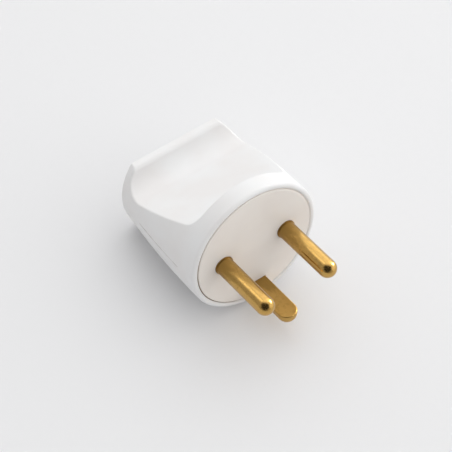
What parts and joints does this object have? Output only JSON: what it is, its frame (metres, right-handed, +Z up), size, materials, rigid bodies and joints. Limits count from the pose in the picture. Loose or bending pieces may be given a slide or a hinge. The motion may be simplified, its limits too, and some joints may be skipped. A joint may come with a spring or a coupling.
{
  "type": "electrical plug",
  "caption": "Rewirable earthed mains plug: two round brass pins, a D-shaped earth pin, round face disc in a one-piece white cover with two finger grips.",
  "frame": {"origin": "on the surface the plug lies on, under the middle of its bounding box", "axes": "+X across the pins from live to neutral, -Y the way the pins point, +Z up; the plug leans 15.4 degrees nose up, as it lies on a table"},
  "size_m": [0.0376, 0.0538, 0.0373],
  "materials": {
    "cover_plastic": "satin",
    "face_plastic": "satin",
    "frame_plastic": "matte",
    "pin_brass": "satin",
    "strip_brass": "satin",
    "plated_steel": "satin"
  },
  "bodies": {
    "root": {"cover": "cover_plastic", "face_disc": "face_plastic", "live_pin": "pin_brass", "live_wire_guard": "plated_steel", "live_terminal_screw": "plated_steel", "neutral_pin": "pin_brass", "neutral_wire_guard": "plated_steel", "neutral_terminal_screw": "plated_steel", "earth_pin": "pin_brass", "earth_strip": "strip_brass", "earth_clamp_washer": "plated_steel", "earth_terminal_screw": "plated_steel", "terminal_frame": "frame_plastic", "left_frame_screw": "plated_steel", "right_frame_screw": "plated_steel", "cord_clamp_strap": "frame_plastic", "left_clamp_screw": "plated_steel", "right_clamp_screw": "plated_steel", "left_cover_screw": "plated_steel", "left_cover_nut": "plated_steel", "right_cover_screw": "plated_steel", "right_cover_nut": "plated_steel"}
  },
  "joints": []
}
